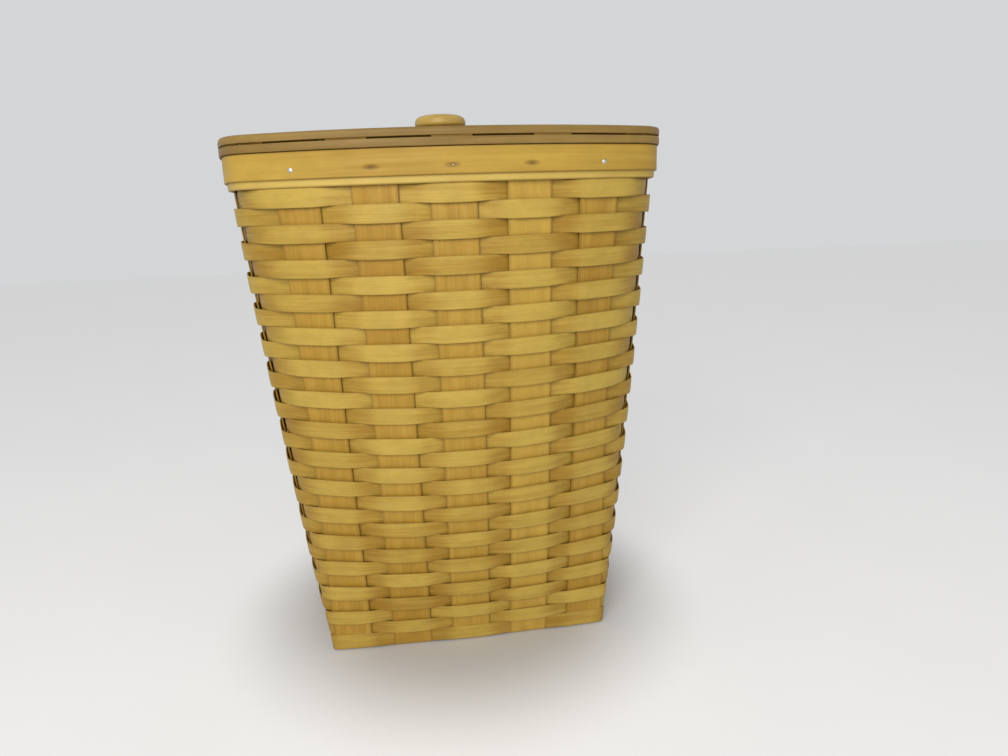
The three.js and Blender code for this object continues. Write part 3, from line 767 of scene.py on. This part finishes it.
# %% Bands
TRIM_THICK, INNER_THICK = 3.2 * MM, 3.0 * MM
BAND_TONE, TONE_WAVE, TONE_WAVES = 0.42, 0.06, 6


def band_tones(seed):
    """Slow changes of tone round a hoop that meet at its ends."""
    turns = np.random.default_rng(seed).uniform(0, 2 * math.pi, TONE_WAVES)
    angle = np.linspace(0, 2 * math.pi, HOOP_STATIONS, endpoint=False)
    return BAND_TONE + sum(TONE_WAVE * np.sin((n + 1) * angle + turn) for n, turn in enumerate(turns))


def band_section(node, outer, thick, radii):
    """Section of a band: heights from the CAD node, radii from the inner lower corner round."""
    low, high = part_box(node)
    corners = [(low.z, outer - thick), (low.z, outer), (high.z, outer), (high.z, outer - thick)]
    return rounded_section(corners, radii)


trim_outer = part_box("rim_trim_band")[1].x - HALF_WIDTH[2]
section = band_section("rim_trim_band", trim_outer, TRIM_THICK, [0.8 * MM, 1.5 * MM, 0.5 * MM, 0.5 * MM])
mesh = hoop("trim_band", section, band_tones(1), 0.0)
add_piece(mesh, TRIM_WOOD, "basket", ["rim_trim_band"])
inner_outer = -(trim_outer - TRIM_THICK)
section = band_section("rim_inner_band", inner_outer, INNER_THICK, [0.8 * MM] * 4)
mesh = hoop("inner_band", section, band_tones(2), 0.2)
add_piece(mesh, RIM_WOOD, "basket", ["rim_inner_band"])
print("trim and inner bands are on")

# %% [markdown]
# ## Outer band and its tacks
# The outer band is nailed through at every stake. Each small tack head has pressed the wood in, and the
# iron has stained it, so the band shows a dark, drawn-out dent round each one; where a tack was driven
# deep, only the dent is seen. The dent's dark colour is iron stain and painted shade. A bump map would
# paint the dent but leave the edge light wrong, so the band has extra stations and rows of points round
# each tack, and those are pushed in.

# %% Where the tacks go
TACK_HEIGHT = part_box("rim_outer_band")[0].z + 6.2 * MM
FRONT_SUNK = (0.0, 1.0, 0.85, 0.95, 0.1)
NEAR_TACK, FINE_STEP = 14, 0.7
stake_tips = np.array([stake_frame(number, WEAVE_TOP)[0] for number in range(STAKES)])
tack_spots = [OUTLINE_LENGTH[np.argmin(np.linalg.norm(OUTLINE - tip, axis=1))] for tip in stake_tips]
tack_random = np.random.default_rng(16)
tack_sunk = tack_random.uniform(0.0, 1.0, STAKES)
tack_sunk[:FRONT_STAKES] = FRONT_SUNK
near_tack = np.arange(-NEAR_TACK, NEAR_TACK + 0.1, FINE_STEP) * MM
band_lengths = np.concatenate([PLAIN_LENGTHS, *[spot + near_tack for spot in tack_spots]])
band_lengths = np.unique(((band_lengths + GIRTH / 2) % GIRTH - GIRTH / 2).round(6))
print(STAKES, "tacks go in", round(TACK_HEIGHT / MM, 1), "mm up")

# %% Dented outer band
BAND_THICK = 1.7 * MM
DENT_LENGTH, DENT_HEIGHT, DENT_DEPTH = 4.2 * MM, 1.4 * MM, 0.45 * MM
DENT_STAIN_AND_SHADE_TONE, BAND_EDGE, STAIN_AND_SHADE_EDGE = 0.3, 0.8, 0.75


def divided(section, step):
    """The same section with points added so that no edge is longer than a step."""
    points = []
    for start, end in zip(section, np.roll(section, -1, axis=0)):
        pieces = max(1, math.ceil(np.linalg.norm(end - start) / step))
        points += [start + (end - start) * n / pieces for n in range(pieces)]
    return np.array(points)


band_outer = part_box("rim_outer_band")[1].x - HALF_WIDTH[2]
section = band_section("rim_outer_band", band_outer, BAND_THICK, [0.5 * MM, 0.6 * MM, 0.6 * MM, 0.5 * MM])
section = divided(section, FINE_STEP * MM)
places, outward = outline_at(band_lengths)
dent = np.zeros((len(places), len(section)))
stain_and_shade = np.zeros_like(dent)
# The colour darkens round each tack by how deep it is sunk: iron stain and painted shade in the dent.
for spot, sunk in zip(tack_spots, tack_sunk):
    off = (band_lengths - spot + GIRTH / 2) % GIRTH - GIRTH / 2
    off_height = section[:, 0] - TACK_HEIGHT
    pressed = np.exp(-(off[:, None] / DENT_LENGTH) ** 2 - (off_height / DENT_HEIGHT) ** 2)
    dent += pressed * (0.5 + 0.5 * sunk)
    stain_and_shade += pressed * sunk
tones = np.interp(band_lengths, PLAIN_LENGTHS, band_tones(3), period=GIRTH)[:, None] + DENT_STAIN_AND_SHADE_TONE * stain_and_shade
upright = np.array((0.0, 0.0, 1.0))
faces_out = np.clip((section[:, 1] - band_outer + BAND_THICK) / BAND_THICK, 0, 1)
distance = section[:, 1] - DENT_DEPTH * dent * faces_out
points = places[:, None] + upright * section[:, :1] + outward[:, None] * distance[..., None]
mesh = strip_mesh("outer_band", points, section, True, tones, 0.4, BAND_EDGE + STAIN_AND_SHADE_EDGE * stain_and_shade)
add_piece(mesh, RIM_WOOD, "basket", ["rim_outer_band"])
print("outer band has", len(mesh.vertices), "points and", STAKES, "dents")


# %% Turned shapes
TURNED_TONE = 0.4


def turned(name, profile, sides, matrix):
    """Closed mesh of a profile (radius, height) turned about its axis; both its ends lie on it."""
    profile = np.array(profile)
    angle = np.arange(sides) * 2 * math.pi / sides
    ring = np.stack([np.cos(angle), np.sin(angle)], -1)
    body = profile[1:-1]
    points = [np.column_stack([ring * radius, np.full(sides, height)]) for radius, height in body]
    points = np.concatenate([*points, [[0, 0, profile[0, 1]]], [[0, 0, profile[-1, 1]]]])
    faces = []
    for row in range(len(body) - 1):
        for n in range(sides):
            near, far = row * sides, row * sides + sides
            faces.append([near + n, near + (n + 1) % sides, far + (n + 1) % sides, far + n])
    foot, tip = len(points) - 2, len(points) - 1
    last = (len(body) - 1) * sides
    faces += [[foot, (n + 1) % sides, n] for n in range(sides)]
    faces += [[tip, last + n, last + (n + 1) % sides] for n in range(sides)]
    corners = np.array([corner for face in faces for corner in face])
    turn = np.arctan2(points[corners, 1], points[corners, 0])
    strip_map = np.stack([turn * profile[:, 0].max(), points[corners, 2]], -1)
    tone_map = np.stack([np.full(len(corners), TURNED_TONE), np.zeros(len(corners))], -1)
    points = np.array([matrix @ Vector(p) for p in points])
    return solid_mesh(name, points, faces, [strip_map, tone_map])


print("one profile will do for all", STAKES, "tacks")

# %% Tacks
TACK_RADIUS, TACK_RISE, LIP_DEPTH, TACK_DEPTH = 1.9 * MM, 0.75 * MM, 0.2 * MM, 1.0 * MM
SUNK_SHARE = 1.1
dome = [(TACK_RADIUS * math.cos(a), TACK_RISE * math.sin(a)) for a in np.radians((0, 18, 36, 54, 72))]
tack_profile = [(0, -TACK_DEPTH), (TACK_RADIUS * 0.7, -TACK_DEPTH), (TACK_RADIUS, -LIP_DEPTH), *dome,
                (0, TACK_RISE)]
places, outward = outline_at(np.array(tack_spots))
for number, (place, out, sunk) in enumerate(zip(places, outward, tack_sunk)):
    depth = DENT_DEPTH * (0.5 + 0.5 * sunk) + SUNK_SHARE * TACK_RISE * sunk
    seat = Vector(place) + Vector(out) * (band_outer - depth) + Vector((0, 0, TACK_HEIGHT))
    aim = Vector(out).to_track_quat("Z", "Y").to_matrix().to_4x4()
    mesh = turned(f"tack_{number + 1:02d}", tack_profile, 20, Matrix.Translation(seat) @ aim)
    add_piece(mesh, STEEL, "basket")
print("drove", STAKES, "tacks")

# %% [markdown]
# ## Lid
# Two bent hoops lie one on the other and grip the ends of a woven panel between them. From the side
# the gaps between the panel's splints show as dark slots in the line where the hoops meet. The upper
# hoop has a round top edge.

# %% Hoops of the lid
LID_HOOP_WIDTH = 13 * MM
lid_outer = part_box("lid_lower_hoop")[1].x - HALF_WIDTH[2]
PANEL_LEVEL = (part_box("lid_lower_hoop")[1].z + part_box("lid_upper_hoop")[0].z) / 2
GROOVE, GROOVE_DEPTH, MEETING_GAP = 1.2 * MM, 3.0 * MM, 0.05 * MM


def hoop_section(outside, outer_radius):
    """A hoop's section: rounded on its outer corner, and meeting the other hoop behind a groove."""
    towards = 1 if outside > PANEL_LEVEL else -1
    inner = lid_outer - LID_HOOP_WIDTH
    lip, back = PANEL_LEVEL + towards * GROOVE / 2, PANEL_LEVEL + towards * MEETING_GAP
    corners = [(outside, inner), (outside, lid_outer), (lip, lid_outer), (lip, lid_outer - GROOVE_DEPTH),
               (back, lid_outer - GROOVE_DEPTH - GROOVE), (back, inner)]
    return rounded_section(corners, [0.8 * MM, outer_radius, 0.5 * MM, 0.2 * MM, 0.2 * MM, 0.5 * MM])


section = hoop_section(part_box("lid_lower_hoop")[0].z, 0.8 * MM)
mesh = hoop("lower_hoop", section, band_tones(4), 0.6)
add_piece(mesh, LID_WOOD, "lid", ["lid_lower_hoop"])
section = hoop_section(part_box("lid_upper_hoop")[1].z, 2.2 * MM)
mesh = hoop("upper_hoop", section, band_tones(5), 0.8)
add_piece(mesh, LID_WOOD, "lid", ["lid_upper_hoop"])
print("the hoops meet", round(PANEL_LEVEL / MM, 1), "mm up")

# %% [markdown]
# ## Woven panel of the lid
# Five splints go across and seven narrower ones along, over and under each other. Their ends are cut to
# the outline, so each point across a splint has its own length to the edge.

# %% Reach to the edge of the lid
SPLINT_THICK, SPLINT_END_INSET, SETTLE_ROOM = 1.0 * MM, 1.2 * MM, 12 * MM
cross_splints = sorted(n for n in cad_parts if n.startswith("lid_cross_splint"))
long_splints = sorted(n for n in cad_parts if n.startswith("lid_long_splint"))
QUARTER = 2 * ARC_STEPS + CORNER_STEPS + 1
edge_line = (OUTLINE + OUTLINE_OUT * (lid_outer - SPLINT_END_INSET))[:QUARTER] * (1, -1)


def lid_reach(offsets, axis):
    """Half-length of the panel along an axis, at distances from the lid's middle along the other."""
    other = edge_line[:, 1 - axis]
    order = np.argsort(other)
    return np.interp(np.abs(offsets), other[order], edge_line[order, axis])


def middle_of(node, axis):
    low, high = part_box(node)
    return (low[axis] + high[axis]) / 2


def width_of(node, axis):
    low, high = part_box(node)
    return high[axis] - low[axis]


print("panel's half-lengths, mm:", [round(float(lid_reach(0.0, axis)) / MM) for axis in (0, 1)])

# %% Weave the panel
PANEL_STATIONS, PANEL_TONES, PANEL_MAP_STEP = 161, (0.2, 0.65), 0.11
panel_random = np.random.default_rng(12)


def lay_splint(node, number, axis, crossed, first_low):
    """One splint of the panel along an axis, low at every second splint that it crosses."""
    low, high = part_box(node)
    crossings = [middle_of(n, axis) for n in crossed]
    half_crossing = width_of(crossed[0], axis) / 2 + EDGE_RUN
    width = width_of(node, 1 - axis)
    lift = (high.z - low.z - SPLINT_THICK) / 2
    signs = [-1 if (n + first_low) % 2 == 0 else 1 for n in range(len(crossings))]
    section = splint_section(width, SPLINT_THICK, 0.0)
    share = np.linspace(-1, 1, PANEL_STATIONS)
    reach = lid_reach(middle_of(node, 1 - axis) + section[:, 0], axis)
    points = np.zeros((len(share), len(section), 3))
    points[..., axis] = share[:, None] * reach
    points[..., 1 - axis] = middle_of(node, 1 - axis) + section[:, 0]
    height = woven_level(share * reach.mean(), crossings, [s * lift for s in signs], half_crossing)
    free = np.clip((reach.mean() * (1 - np.abs(share)) - LID_HOOP_WIDTH) / SETTLE_ROOM, 0, 1)
    height = height * free * free * (3 - 2 * free)
    points[..., 2] = middle_of(node, 2) + height[:, None] + section[:, 1]
    tone = panel_random.uniform(*PANEL_TONES)
    mesh = strip_mesh(f"splint_{node}", points, section, False, tone, PANEL_MAP_STEP * number)
    add_piece(mesh, LID_SPLINT_WOOD, "lid", [node])


for number, node in enumerate(cross_splints):
    lay_splint(node, number, 1, long_splints, number + 1)
for number, node in enumerate(long_splints):
    lay_splint(node, number + len(cross_splints), 0, cross_splints, number)
print("wove a panel of", len(cross_splints), "and", len(long_splints), "splints")

# %% [markdown]
# ## Knob and screw
# The knob is turned on a lathe from one block, so its shape is a single profile spun about the axis. It
# has a foot, a narrow neck for the fingers and a flat rounded cap. A steel screw comes up through the
# panel into it, and its domed head is seen from inside the basket.

# %% Profile of the knob
def bend_line(start, control, end, steps):
    """Points of a smooth bend from start to end, without its start."""
    t = np.linspace(0, 1, steps + 1)[1:, None]
    start, control, end = (np.array(p) for p in (start, control, end))
    return list((1 - t) ** 2 * start + 2 * t * (1 - t) * control + t**2 * end)


knob_low, knob_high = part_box("knob")
KNOB_RADIUS = (knob_high.x - knob_low.x) / 2
KNOB_HEIGHT = knob_high.z - knob_low.z
FOOT_RADIUS, NECK_RADIUS, UNDERSIDE_RADIUS, CROWN_RADIUS = 11 * MM, 8 * MM, 17 * MM, 17 * MM
FOOT_HEIGHT, UNDERSIDE, WIDEST, SHOULDER = 3 * MM, 16.5 * MM, 19.5 * MM, 25.5 * MM
FOOT_EASE, FOOT_STEP = 0.6 * MM, 0.4 * MM
neck = (NECK_RADIUS, WIDEST / 2)
profile = [(0, 0), (FOOT_RADIUS - FOOT_EASE, 0), (FOOT_RADIUS, FOOT_EASE),
           (FOOT_RADIUS, FOOT_HEIGHT - FOOT_EASE), (FOOT_RADIUS - FOOT_STEP, FOOT_HEIGHT)]
profile += bend_line(profile[-1], (NECK_RADIUS, FOOT_HEIGHT), neck, 10)
profile += bend_line(neck, (NECK_RADIUS, UNDERSIDE), (UNDERSIDE_RADIUS, UNDERSIDE), 12)
profile += bend_line(profile[-1], (KNOB_RADIUS, UNDERSIDE), (KNOB_RADIUS, WIDEST), 8)
print("the knob's foot, neck and underside take", len(profile), "points")

# %% Turn the knob
t = np.linspace(0, 1, 15)[1:, None]
shoulder, crown = np.array((KNOB_RADIUS, SHOULDER)), np.array((CROWN_RADIUS, KNOB_HEIGHT))
widest, top = np.array((KNOB_RADIUS, WIDEST)), np.array((0, KNOB_HEIGHT))
cap = (1 - t) ** 3 * widest + 3 * t * (1 - t) ** 2 * shoulder + 3 * t**2 * (1 - t) * crown + t**3 * top
profile += list(cap)
mesh = turned("turned_knob", profile, 64, Matrix.Translation((0, 0, knob_low.z)))
add_piece(mesh, KNOB_WOOD, "lid", ["knob"])
print("turned a knob of", len(mesh.polygons), "faces")

# %% Screw
screw_low, screw_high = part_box("knob_screw")
HEAD_RADIUS, FACE_RADIUS, HEAD_HEIGHT, SHANK_RADIUS = 4.5 * MM, 3.2 * MM, 2.4 * MM, 2 * MM
length = screw_high.z - screw_low.z
TIP = 2 * MM
profile = [(0, 0), (FACE_RADIUS, 0), (FACE_RADIUS + 0.7 * MM, 0.25 * MM), (HEAD_RADIUS, 1.1 * MM),
           (HEAD_RADIUS, HEAD_HEIGHT), (SHANK_RADIUS, HEAD_HEIGHT), (SHANK_RADIUS, length - TIP),
           (0, length)]
mesh = turned("panel_screw", profile, 32, Matrix.Translation((0, 0, screw_low.z)))
add_piece(mesh, STEEL, "lid", ["knob_screw"])
print("the screw is", round(length / MM, 1), "mm long")

# %% [markdown]
# ## Camera
# The camera stands close to the basket and a little below the lid, turned slightly to the right, and
# tilted down. Aiming it at a target would lose its slight roll, so its three directions are given.

# %% Camera
CAMERA_PLACE = Vector((-34.8, -651.2, 379.0)) * MM
CAMERA_YAW, CAMERA_PITCH, CAMERA_ROLL = 0.125, 0.24, 0.0349
FOCAL_PIXELS, IMAGE_WIDTH = 724.2, 1008
SENSOR = 36.0
forward = Vector((math.sin(CAMERA_YAW) * math.cos(CAMERA_PITCH),
                  math.cos(CAMERA_YAW) * math.cos(CAMERA_PITCH), -math.sin(CAMERA_PITCH)))
level = Vector((math.cos(CAMERA_YAW), -math.sin(CAMERA_YAW), 0))
down = forward.cross(level)
right = level * math.cos(CAMERA_ROLL) + down * math.sin(CAMERA_ROLL)
up = level * math.sin(CAMERA_ROLL) - down * math.cos(CAMERA_ROLL)
camera_data = bpy.data.cameras.new("camera")
camera_data.sensor_width = SENSOR
camera_data.lens = FOCAL_PIXELS / IMAGE_WIDTH * SENSOR
camera_data.clip_start = 0.01
camera = bpy.data.objects.new("camera", camera_data)
turn = Matrix((right, up, -forward)).transposed().to_4x4()
camera.matrix_world = Matrix.Translation(CAMERA_PLACE) @ turn
bpy.context.scene.collection.objects.link(camera)
bpy.context.scene.camera = camera
bpy.context.scene.view_settings.view_transform = "Standard"
print("lens:", round(camera_data.lens, 2), "mm")


# %% [markdown]
# ## Light
# A large soft panel hangs above the front left, with a weak fill on the right, so the rows shade the
# ones below. A pale background could come from more light, but that would bleach the wood. So the
# world is brighter only where it is looked at, straight or in a gloss.

# %% Lamps and world
def add_panel(name, place, target, size, watts, tint=(1, 1, 1)):
    lamp = bpy.data.lights.new(name, "AREA")
    lamp.shape = "SQUARE"
    lamp.size = size
    lamp.energy = watts
    lamp.color = tint
    panel = bpy.data.objects.new(name, lamp)
    panel.location = place
    panel.rotation_euler = (Vector(target) - Vector(place)).to_track_quat("-Z", "Y").to_euler()
    bpy.context.scene.collection.objects.link(panel)


def background_seen(tree):
    """1 for a ray that looks at the background, also in gloss or glass, and 0 for one that lights."""
    path = add_node(tree, "LightPath")
    seen = maths(tree, "MAXIMUM", path.outputs["Is Camera Ray"], path.outputs["Is Glossy Ray"])
    return maths(tree, "MAXIMUM", seen, path.outputs["Is Transmission Ray"])


WORLD_LIGHT, BACKGROUND = 0.33, 0.68
add_panel("key", (-0.4, -1.4, 0.95), (0, 0, 0.25), 1.1, 17.0, (1.0, 0.97, 0.92))
add_panel("fill", (1.2, -1.4, 0.6), (0, 0, 0.2), 1.2, 1.5)
world = bpy.data.worlds.new("studio")
world.use_nodes = True
world_tree = world.node_tree
glow = add_node(world_tree, "MapRange", Value=background_seen(world_tree),
                To_Min=WORLD_LIGHT, To_Max=BACKGROUND)
plug(world_tree, (0.97, 0.98, 1.0, 1.0), world_tree.nodes["Background"].inputs["Color"])
plug(world_tree, glow.outputs[0], world_tree.nodes["Background"].inputs["Strength"])
bpy.context.scene.world = world
print("lamps:", [lamp.name for lamp in bpy.data.lights])

# %% [markdown]
# ## Floor
# The basket stands on a plain pale floor. Like the world, the floor glows only where it is looked at,
# and the glow fades out near the basket, so that the basket's own shadow stays. The fade also paints a
# soft grey pool round the foot, a painted shadow.

# %% Floor
FLOOR_SIZE = 8.0
floor_mesh = bpy.data.meshes.new("floor")
reach = FLOOR_SIZE / 2
corners = [(-reach, -reach, 0), (reach, -reach, 0), (reach, reach, 0), (-reach, reach, 0)]
floor_mesh.from_pydata(corners, [], [(0, 1, 2, 3)])
floor_object = bpy.data.objects.new("floor", floor_mesh)
bpy.context.scene.collection.objects.link(floor_object)
floor_object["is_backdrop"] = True
print("floor:", FLOOR_SIZE, "m across")

# %% Floor finish
FLOOR_GLOW, GLOW_START, GLOW_FULL = 0.42, 0.1, 0.24
FLOOR_GREYS = 0.62, 0.68
floor_material = bpy.data.materials.new("pale floor")
floor_material.use_nodes = True
floor_tree = floor_material.node_tree
floor_shader = floor_tree.nodes["Principled BSDF"]
floor_spots = add_node(floor_tree, "TexNoise", Scale=60.0, Detail=3.0)
floor_grey = add_node(floor_tree, "MapRange", Value=floor_spots.outputs[0],
                      To_Min=FLOOR_GREYS[0], To_Max=FLOOR_GREYS[1])
plug(floor_tree, floor_grey.outputs[0], floor_shader.inputs["Base Color"])
floor_space = add_node(floor_tree, "TexCoord")
from_basket = add_node(floor_tree, "VectorMath", {"operation": "LENGTH"})
plug(floor_tree, floor_space.outputs["Object"], from_basket.inputs[0])
# The glow is held back near the basket, which paints a soft darker pool round its foot, a painted shadow.
glow_outside_painted_pool = ramp(floor_tree, from_basket.outputs["Value"], GLOW_START, GLOW_FULL)
floor_glow = maths(floor_tree, "MULTIPLY", glow_outside_painted_pool, background_seen(floor_tree))
plug(floor_tree, (FLOOR_GLOW, FLOOR_GLOW, FLOOR_GLOW, 1.0), floor_shader.inputs["Emission Color"])
plug(floor_tree, floor_glow, floor_shader.inputs["Emission Strength"])
floor_shader.inputs["Roughness"].default_value = 0.85
floor_shader.inputs["Specular IOR Level"].default_value = 0.1
floor_mesh.materials.append(floor_material)
print("finishes in all:", len(bpy.data.materials))

# %% Sizes, and the end
low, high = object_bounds()
